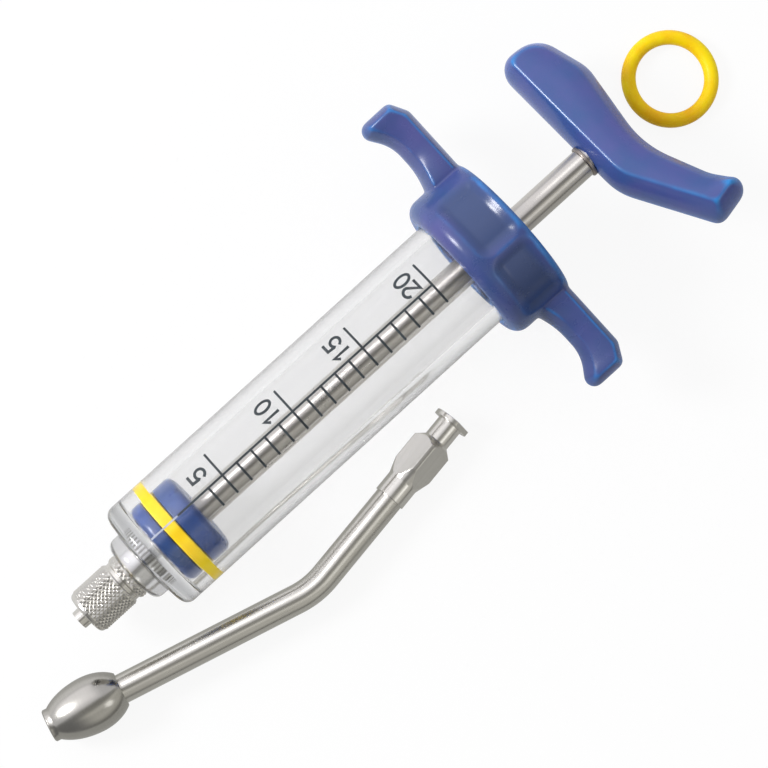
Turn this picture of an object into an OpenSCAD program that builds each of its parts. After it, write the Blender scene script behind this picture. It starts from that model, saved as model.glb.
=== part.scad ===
// Livestock drencher: a refillable dosing syringe, lying beside its bent drench tube and a spare seal.
// +X runs along the syringe towards the palm handle, +Z is up and Z = 0 is the surface it lies on.

/* [Barrel] */
// Outside diameter of the clear barrel
barrel_d = 24.4; // [23.6:0.1:26]
// Wall between the barrel's outside and its bore
barrel_wall = 2.85; // [2.4:0.05:3.4]
// Piston travel that draws the full dose
stroke = 72.8; // [60:0.2:90]
// Thickness of the wall at the front of the bore
front_wall = 3.8; // [3.4:0.1:6]
// Barrel left behind the piston at full draw
barrel_tail = 4.5; // [2:0.1:6]
// Radius of the barrel's front corner
barrel_corner = 2.1; // [0.6:0.1:2.4]
// Diameter of the boss in front of the barrel
boss_d = 14.6; // [13:0.1:17]
// Length of the boss
boss_len = 3.7; // [2.6:0.1:6]
// Radius of the boss's front corner
boss_corner = 1.9; // [0.4:0.1:2]

/* [Nozzle] */
// Diameter of the small end of the tapered tip
tip_d = 3.95; // [3.9:0.01:4.05]
// Length of the tapered tip
tip_len = 7.7; // [7.4:0.1:10]
// Passage through the nozzle
nozzle_bore = 2.2; // [1.6:0.1:2.6]
// Diameter of the neck that the lock collar turns on
neck_d = 5.4; // [5:0.1:6]
// Length of the neck
neck_len = 5; // [4:0.1:7]
// Diameter of the flange that keeps the lock collar on
keeper_d = 7.2; // [6.6:0.1:7.6]
// Thickness of that flange
keeper_t = 1; // [0.6:0.1:1.5]
// Diameter of the threaded shank in the insert
shank_d = 4.6; // [4:0.1:4.8]
// Outside diameter of the insert moulded into the barrel
insert_d = 9.4; // [8.6:0.1:11]
// Depth of the insert past the barrel's front face
insert_depth = 2.4; // [2:0.1:2.8]
// Diameter over the insert's straight knurl
insert_knurl_d = 9.9; // [9.6:0.1:11.5]
// Length of that knurl
insert_knurl_len = 1.3; // [0.8:0.1:1.6]
// Thickness of the washer at the foot of the shank
seal_t = 0.6; // [0.4:0.1:1]

/* [Lock collar] */
// Diameter over the diamond knurl
lock_d = 10; // [9.6:0.1:11]
// Length of the lock collar
lock_len = 11.8; // [11:0.1:14]
// Depth of the diamond knurl
knurl_depth = 0.26; // [0.1:0.02:0.35]
// Thread diameter inside the front of the collar
lock_bore = 8; // [7.9:0.05:8.2]
// Number of knurl points round the collar
knurl_points = 30; // [20:1:40]
// Length of the plain groove that parts the two knurled bands
groove_len = 1.2; // [0.6:0.1:2]
// Length of the rear knurled band
rear_band = 1.5; // [1:0.1:3]
// Rounding of the plain front rim
front_rim = 0.9; // [0.5:0.05:0.95]

/* [Piston] */
// Gap between the two piston discs and the bore
piston_gap = 0.15; // [0.1:0.01:0.4]
// Length of the front disc
front_disc_len = 3; // [2.4:0.1:5]
// Length of the rear disc
rear_disc_len = 4.4; // [3:0.1:8]
// Cord thickness of the seal rings
ring_cord = 2.9; // [2.4:0.1:3.2]
// Radius of the discs' outer corners
disc_corner = 1.5; // [0.4:0.1:1.8]
// Diameter of the plunger rod
rod_d = 6; // [5.6:0.1:7]
// Diameter of the stud at the rod's front end
stud_d = 4.4; // [3.5:0.1:5]
// Rod that shows behind the grip with the plunger pushed home
rod_exposed = 19.5; // [12:0.5:30]
// Diameter of the washer under the handle
washer_d = 7.6; // [7.2:0.1:9]
// Thickness of that washer
washer_t = 1.2; // [0.8:0.1:2]

/* [Finger grip] */
// Outside diameter of the grip's collar
grip_d = 33.4; // [31:0.1:36]
// Length of the collar
grip_len = 14.4; // [13.4:0.1:18]
// Thickness of the collar's rear wall
grip_floor = 5.15; // [3.5:0.05:7]
// Radius of the collar's front rim
grip_rim = 3; // [1:0.1:3.4]
// Thickness of the gasket behind the barrel
gasket_t = 1; // [0.6:0.1:2]
// Number of panels sunk in one half of the collar
panel_count = 2; // [1:1:2]
// Angle from one panel to the next
panel_pitch = 60; // [56:1:64]
// Turn of the panels from the top line
panel_turn = 7.5; // [-8:0.5:8]
// Width of a panel
panel_w = 14.2; // [8:0.1:14.6]
// Length of a panel
panel_len = 7.8; // [5:0.1:8.2]
// Depth of a panel
panel_depth = 0.9; // [0.3:0.1:1.4]
// Corner radius of a panel
panel_corner = 1.4; // [0.6:0.1:2]
// Plain rim behind the panels
panel_rim = 2; // [1.6:0.1:3]
// Distance from tip to tip of the wings
wing_span = 69.6; // [62:0.2:84]
// Thickness of a wing from top to bottom
wing_depth = 12; // [9:0.1:14]
// Width of a wing at its narrowest, along the syringe
wing_waist = 7.2; // [6:0.1:9]
// Width of a wing at its flared tip, before the corner is rounded
wing_tip = 11.9; // [9.5:0.1:13]
// Width of a wing where it leaves the barrel
wing_root = 9.1; // [8:0.1:11]
// Rounding of the flared tip's corner
wing_corner = 2; // [1.6:0.1:2.4]
// Length of the bevel at the rear of the tip, along the wing
wing_bevel_len = 4.1; // [2:0.1:6]
// Width of that bevel, along the syringe
wing_bevel_w = 2.2; // [1:0.1:3]
// Width lost from a wing's outline at its faces, where its sides bulge
wing_edge = 1.6; // [0.6:0.1:2]

/* [Palm handle] */
// Reach of the thick arm from the rod's axis
thick_arm = 26.4; // [20:0.1:30]
// Reach of the swept arm from the rod's axis
swept_arm = 28.3; // [22:0.1:32]
// Length of the handle along the rod
handle_rise = 20.3; // [16:0.1:23]
// Thickness of the handle from face to face
handle_depth = 12.6; // [10:0.1:15]
// Width lost from the handle's outline at its faces, where its sides bulge
handle_edge = 2.2; // [1:0.1:2.4]
// Radius of the corners at the swept arm's end
handle_corner = 2.5; // [2.4:0.1:3.2]
// Depth of the rod's socket in the handle
handle_socket = 6.6; // [4:0.1:7]
// Turn of the handle about the rod
handle_turn = 16; // [0:1:20]

/* [Drench tube] */
// Outside diameter of the steel tube
tube_d = 6; // [5.6:0.1:6.4]
// Wall of the tube
tube_wall = 0.9; // [0.6:0.1:1.2]
// Distance from the middle of the olive to the bend's corner
tube_front = 49.3; // [40:0.1:70]
// Distance from the bend's corner to the end of the hub
tube_rear = 44.3; // [38:0.1:60]
// Angle of the bend
tube_bend = 23.5; // [10:0.5:35]
// Radius of the bend at the middle of the tube
bend_r = 18; // [14:0.5:24]
// Largest diameter of the olive
olive_d = 11.6; // [10.5:0.1:13]
// Length of the olive in front of its largest diameter
olive_front = 10.3; // [8:0.1:14]
// Half length that the olive's rear curve would have
olive_rear = 8.2; // [7:0.1:11]
// Diameter where the olive's rear curve is cut off
olive_cut_d = 7; // [6.8:0.1:7.6]
// Diameter of the rim round the olive's mouth
mouth_d = 6.8; // [6:0.1:7.4]
// Length of that rim
mouth_len = 1.1; // [0.6:0.1:2]
// Diameter of the hub's socket for the tube
socket_d = 6.7; // [6.6:0.05:7.2]
// Length of the socket
socket_len = 4.2; // [3.4:0.1:6]
// Length of the cone behind the socket
hub_cone = 3.2; // [1.6:0.1:4]
// Diameter over the corners of the hub's square body
hub_d = 8.7; // [8.2:0.1:9.4]
// Width across the flats of that body
hub_flats = 6.8; // [6.75:0.05:7.4]
// Length of the square body
hub_body = 6.1; // [5:0.1:9]
// Length of the shoulder behind the body
hub_shoulder = 1.5; // [1:0.1:2.5]
// Diameter of the hub's neck
hub_neck_d = 5.4; // [5.2:0.1:6]
// Length of the neck
hub_neck_len = 4.4; // [3.4:0.1:7]
// Diameter over the lugs that screw into the lock collar
lug_d = 7.8; // [7.6:0.05:7.85]
// Width across the flats between the lugs
lug_flats = 6.6; // [6:0.1:7.2]
// Thickness of the lugs
lug_t = 1; // [0.8:0.1:1.6]
// Mouth of the hub's tapered socket
hub_mouth_d = 4.3; // [4.2:0.01:4.4]
// Depth of the tapered socket
hub_taper_len = 7.5; // [6:0.1:9]

/* [Layout] */
// Olive's middle, along the syringe from the barrel's front face
olive_x = -26.9; // [-40:0.1:-20]
// Olive's middle, sideways from the syringe
olive_y = -13.9; // [-24:0.1:-12]
// Heading of the tube's front length
tube_heading = -15.4; // [-20:0.1:-8]
// Spare ring's middle, along the syringe from the barrel's front face
spare_x = 145.7; // [140:0.1:170]
// Spare ring's middle, sideways from the syringe
spare_y = 1; // [-6:0.1:6]
// Outside diameter of the spare ring, unsqueezed
spare_d = 19.6; // [18.6:0.1:21]

/* [Hidden] */
$fn = 64;

// Clearances: fixed fits, running fits, gaps between turning faces, and the overrun of cuts
fit = 0.02;
run = 0.05;
face_gap = 0.1;
over = 1;
// Luer standard taper: gain of diameter per unit of length
luer_share = 0.06;

// Diameters that follow from the barrel's
bore_d = barrel_d - 2 * barrel_wall;
piston_d = bore_d - 2 * piston_gap;

// Stations along the syringe, from the barrel's front face
boss_front = -boss_len;
keeper_rear = boss_front - neck_len;
tip_root = keeper_rear - keeper_t;
tip_end = tip_root - tip_len;
shank_end = insert_depth - seal_t;
lock_gap = 0.2;
lock_rear = boss_front - lock_gap;
lock_front = lock_rear - lock_len;
floor_gap = 0.4;
disc_front = front_wall + floor_gap;
ring_slot = ring_cord + 2 * face_gap;
slot_front = disc_front + front_disc_len;
slot_rear = slot_front + ring_slot;
disc_rear = slot_rear + rear_disc_len;
barrel_len = disc_rear + stroke + barrel_tail;
gasket_rear = barrel_len + gasket_t;
grip_rear = gasket_rear + run + grip_floor;
grip_front = grip_rear - grip_len;
handle_front = grip_rear + rod_exposed;
stud_cover = 1.8;
stud_front = disc_front + stud_cover;

// The seal ring squeezed in the bore, and the spigot inside it
seal_ring_d = bore_d - 2 * run;
seal_ring_mid = (seal_ring_d - ring_cord) / 2;
spigot_d = seal_ring_d - 2 * ring_cord - 2 * run;
spare_mid = (spare_d - ring_cord) / 2;

// The syringe lies on the barrel's front corner and the grip's front rim
rest_run = grip_front + grip_rim - barrel_corner;
rest_rise = (grip_d / 2 - grip_rim) - (barrel_d / 2 - barrel_corner);
rest_step = grip_rim - barrel_corner;
pitch = atan(rest_rise / rest_run) + asin(rest_step / norm([rest_run, rest_rise]));
axis_z = barrel_corner + (barrel_d / 2 - barrel_corner) * cos(pitch) - barrel_corner * sin(pitch);

// The drench tube lies on the olive and on one corner of the hub's square body
tube_bore = tube_d - 2 * tube_wall;
hub_len = socket_len + hub_cone + hub_body + hub_shoulder + hub_neck_len + lug_t;
hub_start = tube_rear - hub_len;
hub_mid = hub_start + socket_len + hub_cone + hub_body / 2;
tube_pitch = atan((olive_d - hub_d) / 2 / (tube_front + hub_mid));
bend_tangent = bend_r * tan(tube_bend / 2);
olive_cut = olive_rear * sqrt(1 - pow(olive_cut_d / olive_d, 2));
olive_nose = olive_front * sqrt(1 - pow(mouth_d / olive_d, 2));
olive_socket = olive_cut / 2;
tube_socket = socket_len + hub_cone / 2;

// The set's middle lies at X = 0
set_front = olive_x - (olive_nose + mouth_len) * cos(tube_heading) - mouth_d / 2 * sin(-tube_heading);
set_rear = spare_x + spare_d / 2;
set_mid = (set_front + set_rear) / 2;

// Corners of the wings and the handle, as shares of their reach and of the handle's rise
waist_share = 0.307;
flare_share = 0.661;
handle_knee_share = 0.316;
swept_front_share = 0.505;
end_slant_share = 0.922;
flare_place_share = 0.682;
flare_rise_share = 0.763;
hollow_place_share = 0.2;
hollow_share = 0.505;
lobe_place_share = 0.525;
lobe_share = 0.665;
lobe_end_share = 0.512;
lobe_front_share = 0.18;
lobe_rear_share = 0.3;

// Corners left all but sharp, the barrel's rear edge, and the insert's knurl
sharp = 0.01;
end_round = 0.6;
knurl_front = 0.4;
insert_teeth = 40;

// Colours
nylon = [0.28, 0.30, 0.62];
seal_yellow = [0.98, 0.80, 0.05];
steel = [0.72, 0.71, 0.68];
nickel = [0.66, 0.66, 0.63];
clear = [0.90, 0.91, 0.92, 0.35];

// Steps of a corner's arc and of a side's bulge, and the power that the bulge follows
arc_steps = 6;
edge_steps = 4;
bulge_power = 2.2;
olive_steps = 12;

function unit(v) = v / norm(v);

// One rounded corner of an outline: points of its arc, each with its outward normal
function corner(before, at, after, r) =
  let (
    p = [at[0], at[1]],
    u = unit([before[0], before[1]] - p),
    v = unit([after[0], after[1]] - p),
    half = acos(u * v) / 2,
    middle = p + unit(u + v) * r / sin(half),
    start = p + u * r / tan(half) - middle,
    bulges = u[0] * v[1] - u[1] * v[0] < 0 ? 1 : -1,
    sweep = bulges * (180 - 2 * half)
  )
  [for (i = [0 : arc_steps])
    let (
      a = sweep * i / arc_steps,
      ray = [start[0] * cos(a) - start[1] * sin(a), start[0] * sin(a) + start[1] * cos(a)]
    )
    [middle + ray, bulges * ray / r]];

// A closed outline, counterclockwise, from corners given as [x, y, radius]
function outline(corners) =
  let (n = len(corners))
  [for (i = [0 : n - 1])
    each corner(corners[(i + n - 1) % n], corners[i], corners[(i + 1) % n], corners[i][2])];

function places(rim) = [for (e = rim) e[0]];

// A plate of that outline, centred on Z = 0, with sides that bulge from its faces to its middle
module soft_plate(corners, depth, edge) {
  rim = outline(corners);
  n = len(rim);
  heights = [for (i = [0 : edge_steps]) 1 - i / edge_steps];
  lower = [for (h = heights) [edge * pow(h, bulge_power), -h * depth / 2]];
  layers = concat(lower, [for (i = [edge_steps - 1 : -1 : 0]) [lower[i][0], -lower[i][1]]]);
  last = len(layers) - 1;
  points = [for (l = layers) for (e = rim) let (q = e[0] - e[1] * l[0]) [q[0], q[1], l[1]]];
  sides = [for (k = [0 : last - 1]) for (i = [0 : n - 1])
    let (a = k * n + i, b = k * n + (i + 1) % n)
    each [[a, a + n, b], [b, a + n, b + n]]];
  foot = [[for (i = [0 : n - 1]) i]];
  head = [[for (i = [n - 1 : -1 : 0]) last * n + i]];
  polyhedron(points, concat(sides, foot, head));
}

// A body turned about Z from corners given as [radius, z, corner radius]
module turned(corners) {
  rotate_extrude()
    polygon(places(outline(corners)));
}

// A round hole along Z
module hole(d, from, to) {
  translate([0, 0, from])
    cylinder(d = d, h = to - from);
}

// A ring of round cord about Z
module cord_ring(mid_r) {
  rotate_extrude()
    translate([mid_r, 0])
      circle(d = ring_cord);
}

// From the syringe's own frame, Z along it and X up, to where it lies
module lying() {
  translate([-set_mid, 0, axis_z])
    rotate([0, 90 - pitch, 0])
      rotate([0, 0, 180])
        children();
}

// From a plate drawn in X and Y to one across the syringe, with Y along it and its face upwards
module across() {
  rotate([90, 0, 90])
    children();
}

// From the tube's own frame, X along it from the middle of the olive, to where it lies
module lying_tube() {
  translate([olive_x - set_mid, olive_y, olive_d / 2])
    rotate([0, tube_pitch, tube_heading])
      children();
}

// To the tube's rear length, Z along it from the bend's corner and the hub's corner downwards
module past_bend() {
  translate([tube_front, 0, 0])
    rotate([0, 90, tube_bend])
      rotate([0, 0, 45])
        children();
}

// Clear barrel with its front boss and the insert's pocket
module barrel() {
  color(clear)
    lying()
      difference() {
        union() {
          turned([
            [0, 0, sharp], [barrel_d / 2, 0, barrel_corner], [barrel_d / 2, barrel_len, end_round],
            [0, barrel_len, sharp]
          ]);
          turned([
            [0, boss_front, sharp], [boss_d / 2, boss_front, boss_corner],
            [boss_d / 2, barrel_corner, sharp], [0, barrel_corner, sharp]
          ]);
        }
        hole(bore_d, front_wall, barrel_len + over);
        hole(insert_d + 2 * fit, boss_front - over, insert_depth);
        hole(insert_knurl_d + 2 * fit, knurl_front - fit, knurl_front + insert_knurl_len + fit);
        hole(nozzle_bore, boss_front, front_wall + over);
      }
}

// Straight-knurled insert with the nozzle's thread, moulded into the front wall
module nozzle_insert() {
  root_r = insert_d / 2;
  color(nickel)
    lying()
      difference() {
        union() {
          hole(insert_d, boss_front, insert_depth - fit);
          translate([0, 0, knurl_front])
            linear_extrude(insert_knurl_len)
              polygon([for (i = [0 : 2 * insert_teeth - 1])
                let (r = i % 2 == 0 ? insert_knurl_d / 2 : root_r - fit, a = 180 * i / insert_teeth)
                [r * cos(a), r * sin(a)]]);
        }
        hole(shank_d + 2 * fit, boss_front - over, insert_depth + over);
      }
}

// Washer between the shank's foot and the floor of the pocket
module nozzle_seal() {
  color("dimgray")
    lying()
      difference() {
        hole(shank_d, shank_end, insert_depth);
        hole(nozzle_bore, shank_end - over, insert_depth + over);
      }
}

// Metal nozzle: tapered tip, keeper flange, neck and threaded shank
module luer_tip() {
  root_d = tip_d + luer_share * tip_len;
  color(steel)
    lying()
      difference() {
        union() {
          translate([0, 0, tip_end])
            cylinder(d1 = tip_d, d2 = root_d, h = tip_len);
          hole(keeper_d, tip_root, keeper_rear);
          hole(neck_d, keeper_rear, boss_front);
          hole(shank_d, boss_front, shank_end);
        }
        hole(nozzle_bore, tip_end - over, shank_end + over);
      }
}

// Rows of the lock collar from its rear: [z, radius, knurl depth]
function knurl_rows(from, to, r) =
  let (pitch_z = PI * lock_d / knurl_points / 2, n = max(2, round((to - from) / pitch_z)))
  concat(
    [[from, r - knurl_depth, 0]],
    [for (i = [1 : n - 1]) [from + (to - from) * i / n, r, knurl_depth]],
    [[to, r - knurl_depth, 0]]
  );

// Turning lock collar with a diamond knurl in two bands
module lock_collar() {
  r = lock_d / 2;
  groove_r = r - 2 * knurl_depth;
  band_end = lock_front + front_rim;
  groove_front = lock_rear - rear_band - groove_len;
  plain_r = r - knurl_depth;
  rim_rows = [for (a = [0 : 90 / edge_steps : 90 - 90 / edge_steps])
    [lock_front + front_rim * (1 - cos(a)), plain_r - front_rim * (1 - sin(a)), 0]];
  rows = concat(
    rim_rows,
    knurl_rows(band_end, groove_front, r),
    [[groove_front + knurl_depth, groove_r, 0], [groove_front + groove_len - knurl_depth, groove_r, 0]],
    knurl_rows(groove_front + groove_len, lock_rear, r)
  );
  n = 2 * knurl_points;
  last = len(rows) - 1;
  points = [for (j = [0 : last]) for (i = [0 : n - 1])
    let (a = 180 * i / knurl_points, q = rows[j][1] - rows[j][2] * ((i + j) % 2))
    [q * cos(a), q * sin(a), rows[j][0]]];
  // each cell is split between its two low corners, so that the high ones stand as points
  sides = [for (j = [0 : last - 1]) for (i = [0 : n - 1])
    let (a = j * n + i, b = j * n + (i + 1) % n, c = a + n, d = b + n)
    each ((i + j) % 2 == 0 ? [[a, c, b], [b, c, d]] : [[a, d, b], [a, c, d]])];
  foot = [[for (i = [0 : n - 1]) i]];
  head = [[for (i = [n - 1 : -1 : 0]) last * n + i]];
  color(nickel)
    lying()
      difference() {
        polyhedron(points, concat(sides, foot, head));
        hole(lock_bore, lock_front - over, keeper_rear + face_gap);
        hole(neck_d + 2 * run, lock_front - over, lock_rear + over);
      }
}

// Gasket between the barrel's rear end and the floor of the grip
module grip_gasket() {
  color("gainsboro")
    lying()
      difference() {
        hole(barrel_d - 2 * face_gap, barrel_len, gasket_rear);
        hole(bore_d + 2 * face_gap, barrel_len - over, gasket_rear + over);
      }
}

// One wing of the finger grip, drawn outwards along X with Y along the syringe
module wing() {
  tip = wing_span / 2;
  root = barrel_d / 2 + (grip_d - barrel_d) / 4;
  rear = grip_rear - face_gap;
  reach = tip - root;
  soft_plate([
    [root, rear - wing_root, wing_edge],
    [root + reach * waist_share, rear - wing_waist, wing_span / 4],
    [root + reach * flare_share, rear - wing_waist, wing_span / 8],
    [tip, rear - wing_tip, wing_corner],
    [tip, rear - wing_bevel_w, wing_edge],
    [tip - wing_bevel_len, rear, wing_edge],
    [root, rear, wing_edge]
  ], wing_depth, wing_edge);
}

// A rectangle with round corners, centred
module round_rectangle(w, h, r) {
  square([w - 2 * r, h], center = true);
  square([w, h - 2 * r], center = true);
  for (x = [-1, 1], y = [-1, 1])
    translate([x * (w / 2 - r), y * (h / 2 - r)])
      circle(r = r);
}

// One sunk panel on the side of the collar
module panel() {
  middle = grip_rear - panel_rim - panel_len / 2;
  intersection() {
    translate([0, 0, middle])
      rotate([90, 0, 90])
        linear_extrude(grip_d)
          round_rectangle(panel_w, panel_len, panel_corner);
    difference() {
      hole(grip_d + over, grip_front, grip_rear);
      hole(grip_d - 2 * panel_depth, grip_front - over, grip_rear + over);
    }
  }
}

// Screw-on finger grip: collar with sunk panels and two wings
module finger_grip() {
  color(nylon)
    lying()
      difference() {
        union() {
          difference() {
            turned([
              [0, grip_front, sharp], [grip_d / 2, grip_front, grip_rim],
              [grip_d / 2, grip_rear, panel_rim / 2], [0, grip_rear, sharp]
            ]);
            for (half = [0, 180], i = [0 : panel_count - 1])
              rotate([0, 0, half + panel_turn + (i - (panel_count - 1) / 2) * panel_pitch])
                panel();
          }
          across()
            wing();
          mirror([0, 1, 0])
            across()
              wing();
        }
        hole(barrel_d + 2 * run, grip_front - over, gasket_rear + run);
        hole(rod_d + 2 * run, gasket_rear - over, grip_rear + over);
      }
}

// Front disc of the piston, with the spigot that carries the seal ring
module piston_front() {
  color(nylon)
    lying()
      difference() {
        union() {
          turned([
            [0, disc_front, sharp], [piston_d / 2, disc_front, disc_corner],
            [piston_d / 2, slot_front, sharp], [0, slot_front, sharp]
          ]);
          hole(spigot_d, slot_front, slot_rear);
        }
        hole(stud_d + 2 * fit, stud_front, slot_rear + over);
      }
}

// Seal ring, squeezed in the bore
module piston_o_ring() {
  color(seal_yellow)
    lying()
      translate([0, 0, slot_front + ring_slot / 2])
        cord_ring(seal_ring_mid);
}

// Rear disc of the piston, clamped by the rod's shoulder
module piston_rear() {
  color(nylon)
    lying()
      difference() {
        turned([
          [0, slot_rear, sharp], [piston_d / 2, slot_rear, sharp],
          [piston_d / 2, disc_rear, disc_corner], [0, disc_rear, sharp]
        ]);
        hole(rod_d + 2 * fit, slot_rear - over, disc_rear + over);
      }
}

// Steel plunger rod with its front stud
module plunger_rod() {
  color(steel)
    lying() {
      hole(stud_d, stud_front, slot_rear);
      hole(rod_d, slot_rear, handle_front + handle_socket);
    }
}

// Washer under the handle
module handle_washer() {
  color(nickel)
    lying()
      difference() {
        hole(washer_d, handle_front - washer_t, handle_front);
        hole(rod_d + 2 * fit, handle_front - washer_t - over, handle_front + over);
      }
}

// Palm handle: a thick round-ended arm and a slimmer arm swept back
module plunger_handle() {
  corners = [
    [-thick_arm, 0, handle_rise * lobe_front_share],
    [swept_arm * handle_knee_share, 0, thick_arm / 2],
    [swept_arm, handle_rise * swept_front_share, handle_corner],
    [swept_arm * end_slant_share, handle_rise, handle_corner],
    [swept_arm * flare_place_share, handle_rise * flare_rise_share, swept_arm / 3],
    [swept_arm * hollow_place_share, handle_rise * hollow_share, swept_arm * 3 / 4],
    [-thick_arm * lobe_place_share, handle_rise * lobe_share, thick_arm / 3],
    [-thick_arm, handle_rise * lobe_end_share, handle_rise * lobe_rear_share]
  ];
  color(nylon)
    lying()
      difference() {
        translate([0, 0, handle_front])
          rotate([0, 0, -handle_turn])
            across()
              soft_plate(corners, handle_depth, handle_edge);
        hole(rod_d + 2 * fit, handle_front - over, handle_front + handle_socket);
      }
}

// A straight length of the tube along Z
module tube_length(from, to) {
  difference() {
    hole(tube_d, from, to);
    hole(tube_bore, from - over, to + over);
  }
}

// Bent steel tube, from the olive's socket to the hub's, drawn a trace thinner in the bend
module drench_tube() {
  bend_start = tube_front - bend_tangent;
  color(steel)
    lying_tube() {
      rotate([0, 90, 0])
        tube_length(olive_cut - olive_socket, bend_start + face_gap);
      translate([bend_start, bend_r, 0])
        rotate([0, 0, -90])
          rotate_extrude(angle = tube_bend)
            translate([bend_r, 0])
              difference() {
                circle(d = tube_d - 2 * fit);
                circle(d = tube_bore + 2 * fit);
              }
      past_bend()
        tube_length(bend_tangent - face_gap, hub_start + tube_socket);
    }
}

// Olive tip: two half eggs with a rim round the mouth
module olive_tip() {
  nose = [for (i = [0 : olive_steps])
    let (x = -olive_nose * (1 - i / olive_steps))
    [olive_d / 2 * sqrt(1 - pow(x / olive_front, 2)), x]];
  tail = [for (i = [1 : olive_steps])
    let (x = olive_cut * i / olive_steps)
    [olive_d / 2 * sqrt(1 - pow(x / olive_rear, 2)), x]];
  rim = [[0, -olive_nose - mouth_len], [mouth_d / 2, -olive_nose - mouth_len]];
  color(steel)
    lying_tube()
      rotate([0, 90, 0])
        difference() {
          rotate_extrude()
            polygon(concat(rim, nose, tail, [[0, olive_cut]]));
          hole(tube_bore, -olive_front - mouth_len - over, olive_cut + over);
          hole(tube_d + 2 * fit, olive_cut - olive_socket - fit, olive_cut + over);
        }
}

// Female hub: socket for the tube, square body, neck and two lugs
module luer_hub() {
  cone_end = hub_start + socket_len + hub_cone;
  body_end = cone_end + hub_body;
  neck_start = body_end + hub_shoulder;
  lug_start = tube_rear - lug_t;
  bottom_d = hub_mouth_d - luer_share * hub_taper_len;
  color(nickel)
    lying_tube()
      past_bend()
        difference() {
          union() {
            intersection() {
              rotate_extrude()
                polygon([
                  [0, hub_start], [socket_d / 2, hub_start], [socket_d / 2, hub_start + socket_len],
                  [hub_d / 2, cone_end], [hub_d / 2, body_end], [hub_neck_d / 2, neck_start], [0, neck_start]
                ]);
              translate([-hub_flats / 2, -hub_flats / 2, hub_start])
                cube([hub_flats, hub_flats, neck_start - hub_start]);
            }
            hole(hub_neck_d, neck_start, tube_rear);
            intersection() {
              hole(lug_d, lug_start, tube_rear);
              translate([-lug_flats / 2, -lug_d / 2, lug_start])
                cube([lug_flats, lug_d, lug_t]);
            }
          }
          hole(tube_d + 2 * fit, hub_start - over, hub_start + tube_socket + fit);
          hole(bottom_d, hub_start, tube_rear);
          translate([0, 0, tube_rear - hub_taper_len])
            cylinder(d1 = bottom_d, d2 = hub_mouth_d, h = hub_taper_len + fit);
        }
}

// Spare seal ring, lying flat
module spare_o_ring() {
  color(seal_yellow)
    translate([spare_x - set_mid, spare_y, ring_cord / 2])
      cord_ring(spare_mid);
}

barrel();
nozzle_insert();
nozzle_seal();
luer_tip();
lock_collar();
grip_gasket();
finger_grip();
piston_front();
piston_o_ring();
piston_rear();
plunger_rod();
handle_washer();
plunger_handle();
drench_tube();
olive_tip();
luer_hub();
spare_o_ring();
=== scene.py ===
import math
import bpy
import bmesh
import numpy as np
from mathutils import Matrix, Vector


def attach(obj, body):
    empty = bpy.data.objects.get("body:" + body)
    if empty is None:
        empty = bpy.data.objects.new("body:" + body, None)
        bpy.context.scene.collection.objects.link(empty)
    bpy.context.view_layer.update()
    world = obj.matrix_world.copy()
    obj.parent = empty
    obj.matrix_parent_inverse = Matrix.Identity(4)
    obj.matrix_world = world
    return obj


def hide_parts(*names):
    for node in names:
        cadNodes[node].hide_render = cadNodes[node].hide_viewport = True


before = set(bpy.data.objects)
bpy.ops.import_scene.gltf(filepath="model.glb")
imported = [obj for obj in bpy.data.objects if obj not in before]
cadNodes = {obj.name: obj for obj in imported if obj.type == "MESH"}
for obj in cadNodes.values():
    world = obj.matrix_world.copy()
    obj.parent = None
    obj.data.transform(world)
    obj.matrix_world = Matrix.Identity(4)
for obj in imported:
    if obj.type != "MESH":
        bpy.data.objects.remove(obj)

mm = 0.001
pureWhite = (1.0, 1.0, 1.0, 1.0)
scene = bpy.context.scene
scene.view_settings.view_transform = "Standard"
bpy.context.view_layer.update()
print("frame loaded, nodes:", len(cadNodes))

# where the syringe and the tube lie, in millimetres and degrees
syringeLay = {"middle": 59.2958, "axisHeight": 12.0743, "pitch": 3.04205}
tubeLay = {"olive": (-86.1958, -13.9, 5.8), "pitch": 0.993073, "heading": -15.4}


def cosSin(degrees):
    return math.cos(math.radians(degrees)), math.sin(math.radians(degrees))


def syringeFrame(lay):
    c, s = cosSin(lay["pitch"])
    turn = Matrix(((-s, 0, c, 0), (0, -1, 0, 0), (c, 0, s, 0), (0, 0, 0, 1)))
    return Matrix.Translation(Vector((-lay["middle"], 0, lay["axisHeight"])) * mm) @ turn


def tubeFrame(lay):
    heading = Matrix.Rotation(math.radians(lay["heading"]), 4, "Z")
    pitch = Matrix.Rotation(math.radians(lay["pitch"]), 4, "Y")
    return Matrix.Translation(Vector(lay["olive"]) * mm) @ heading @ pitch


alongSyringe = syringeFrame(syringeLay)  # z along the syringe, x up
alongTube = tubeFrame(tubeLay)  # x along the tube
laidOver = Matrix.Rotation(math.radians(90), 4, "Y")  # a turned piece's axis laid along the tube

# camera, placed in millimetres
cameraView = {
    "spot": (-49.621, -5.610, 513.294), "aim": (-1.248, -5.888, 15.0), "roll": -42.26987,
    "lens": 118.796, "sensor": 36, "near": 0.01, "far": 20,
}


def placeCamera(view):
    spot, aim = Vector(view["spot"]) * mm, Vector(view["aim"]) * mm
    forward = (aim - spot).normalized()
    side = forward.cross(Vector((0, 1, 0))).normalized()
    rise = side.cross(forward)
    c, s = cosSin(view["roll"])
    right, up = side * c + rise * s, rise * c - side * s
    data = bpy.data.cameras.new("photoCamera")
    data.sensor_width = view["sensor"]
    data.lens = view["lens"]
    data.clip_start = view["near"]
    data.clip_end = view["far"]
    camera = bpy.data.objects.new("photoCamera", data)
    turn = Matrix((right, up, -forward)).transposed().to_4x4()
    camera.matrix_world = Matrix.Translation(spot) @ turn
    scene.collection.objects.link(camera)
    scene.camera = camera


placeCamera(cameraView)
print("camera placed")

# node helpers
number, direction = "NodeSocketFloat", "NodeSocketVector"


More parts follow.
